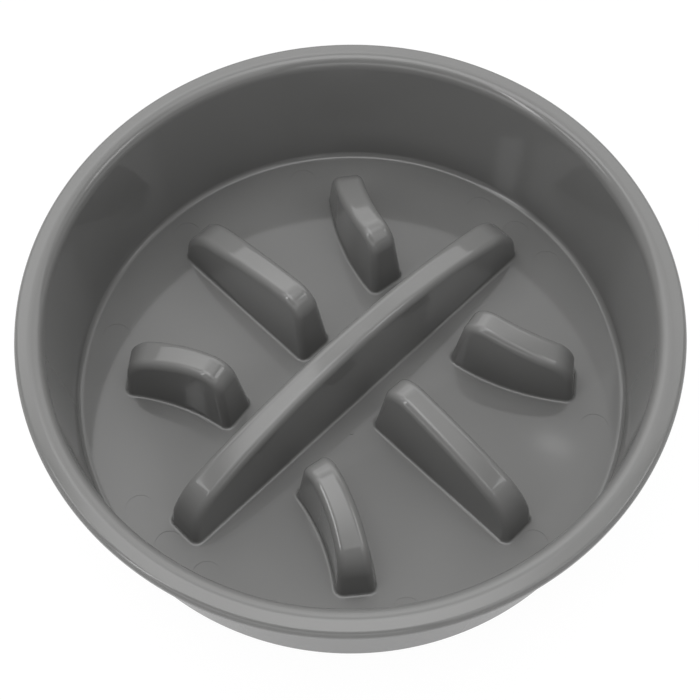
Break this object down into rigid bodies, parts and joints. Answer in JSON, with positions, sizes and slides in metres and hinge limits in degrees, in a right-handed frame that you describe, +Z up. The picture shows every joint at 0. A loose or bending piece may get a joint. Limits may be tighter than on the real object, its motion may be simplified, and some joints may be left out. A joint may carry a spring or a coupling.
{
  "type": "slow feeder bowl",
  "caption": "Round slow feeder bowl with a turned-down rim, steep wall, flat floor and raised ridges that spread the food into channels.",
  "frame": {"origin": "under the middle of the bowl, on the surface that the feet stand on", "axes": "+Z up out of the bowl's mouth, +X along the long ridge, +Y along the two straight ridges"},
  "size_m": [0.21, 0.21, 0.0545],
  "materials": {
    "moulding": "satin to gloss, moulded grey polypropylene",
    "foot_rubber": "matt"
  },
  "bodies": {
    "root": {"bowl_rim": "moulding", "bowl_wall": "moulding", "bowl_floor": "moulding", "long_ridge": "moulding", "straight_ridge_front": "moulding", "straight_ridge_back": "moulding", "curved_ridge_front_left": "moulding", "curved_ridge_front_right": "moulding", "curved_ridge_back_left": "moulding", "curved_ridge_back_right": "moulding", "foot_front_left": "foot_rubber", "foot_front_right": "foot_rubber", "foot_back_left": "foot_rubber", "foot_back_right": "foot_rubber"}
  },
  "joints": []
}
